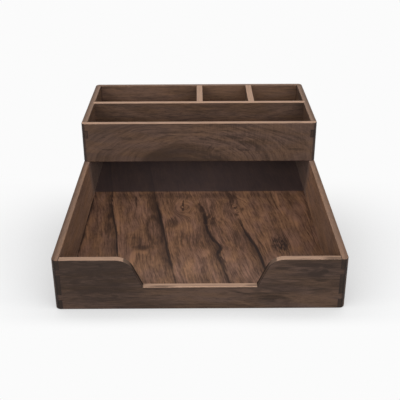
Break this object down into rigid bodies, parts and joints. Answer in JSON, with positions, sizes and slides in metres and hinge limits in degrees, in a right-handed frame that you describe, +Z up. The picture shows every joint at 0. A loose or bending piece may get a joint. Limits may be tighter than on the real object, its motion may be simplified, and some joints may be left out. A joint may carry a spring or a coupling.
{
  "type": "desk organizer",
  "caption": "Open wooden paper tray with a cut-out front board and finger-jointed corners, carrying a divided lift-off caddy for small desk things on its rear.",
  "frame": {"origin": "on the desk, under the middle of the organizer's outline", "axes": "+X to the user's right, +Y from the cut-out front to the rear, +Z up"},
  "size_m": [0.24, 0.325, 0.0893],
  "materials": {
    "walnut": "oiled solid walnut, satin, open grain",
    "walnut_veneer_panel": "walnut-faced panel with strong figure, satin",
    "dowel_wood": "plain turned hardwood, unfinished"
  },
  "bodies": {
    "tray": {"tray_front_board": "walnut", "tray_back_board": "walnut", "tray_left_side": "walnut", "tray_right_side": "walnut", "tray_floor_panel": "walnut_veneer_panel", "locating_dowels": "dowel_wood"},
    "caddy": {"caddy_front_board": "walnut", "caddy_back_board": "walnut", "caddy_left_side": "walnut", "caddy_right_side": "walnut", "caddy_floor_panel": "walnut_veneer_panel", "long_divider": "walnut", "left_short_divider": "walnut", "right_short_divider": "walnut"}
  },
  "joints": [
    {"name": "caddy_lift", "type": "slide", "parent": "tray", "child": "caddy", "axis": [0, 0, 1], "range_m": [0, 0.15]}
  ]
}
